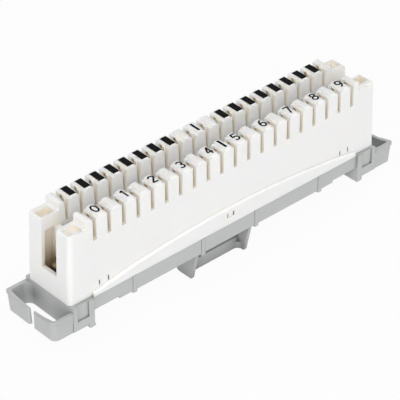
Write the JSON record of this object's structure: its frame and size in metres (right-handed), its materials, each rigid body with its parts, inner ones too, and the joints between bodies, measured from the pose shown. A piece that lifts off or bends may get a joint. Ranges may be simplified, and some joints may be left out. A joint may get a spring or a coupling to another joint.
{
  "type": "punch-down wiring block",
  "caption": "Disconnection block: a white comb moulding with facing rows of wire slots over sprung fork contacts, on a grey clip-on base with end wire loops and a cable rest.",
  "frame": {"origin": "middle of the plane on which the base's end blocks seat on the mounting frame", "axes": "+X along the block's length, in the order in which its slots are numbered; +Y across it, from the numbered row of fingers to the rear row; +Z out of the frame, towards the finger tops"},
  "size_m": [0.124, 0.0198, 0.0401],
  "materials": {
    "housing_white": "moulded white thermoplastic, satin",
    "base_grey": "moulded mid-grey thermoplastic, satin",
    "contact_metal": "stamped plated brass strip, bright"
  },
  "bodies": {
    "root": {"housing": "housing_white", "base": "base_grey", "earth_spring_left": "contact_metal", "earth_spring_right": "contact_metal", "front_contact_1": "contact_metal", "front_contact_2": "contact_metal", "front_contact_3": "contact_metal", "front_contact_4": "contact_metal", "front_contact_5": "contact_metal", "front_contact_6": "contact_metal", "front_contact_7": "contact_metal", "front_contact_8": "contact_metal", "front_contact_9": "contact_metal", "front_contact_10": "contact_metal", "front_contact_11": "contact_metal", "front_contact_12": "contact_metal", "front_contact_13": "contact_metal", "front_contact_14": "contact_metal", "front_contact_15": "contact_metal", "front_contact_16": "contact_metal", "front_contact_17": "contact_metal", "front_contact_18": "contact_metal", "front_contact_19": "contact_metal", "front_contact_20": "contact_metal", "rear_contact_1": "contact_metal", "rear_contact_2": "contact_metal", "rear_contact_3": "contact_metal", "rear_contact_4": "contact_metal", "rear_contact_5": "contact_metal", "rear_contact_6": "contact_metal", "rear_contact_7": "contact_metal", "rear_contact_8": "contact_metal", "rear_contact_9": "contact_metal", "rear_contact_10": "contact_metal", "rear_contact_11": "contact_metal", "rear_contact_12": "contact_metal", "rear_contact_13": "contact_metal", "rear_contact_14": "contact_metal", "rear_contact_15": "contact_metal", "rear_contact_16": "contact_metal", "rear_contact_17": "contact_metal", "rear_contact_18": "contact_metal", "rear_contact_19": "contact_metal", "rear_contact_20": "contact_metal"}
  },
  "joints": []
}
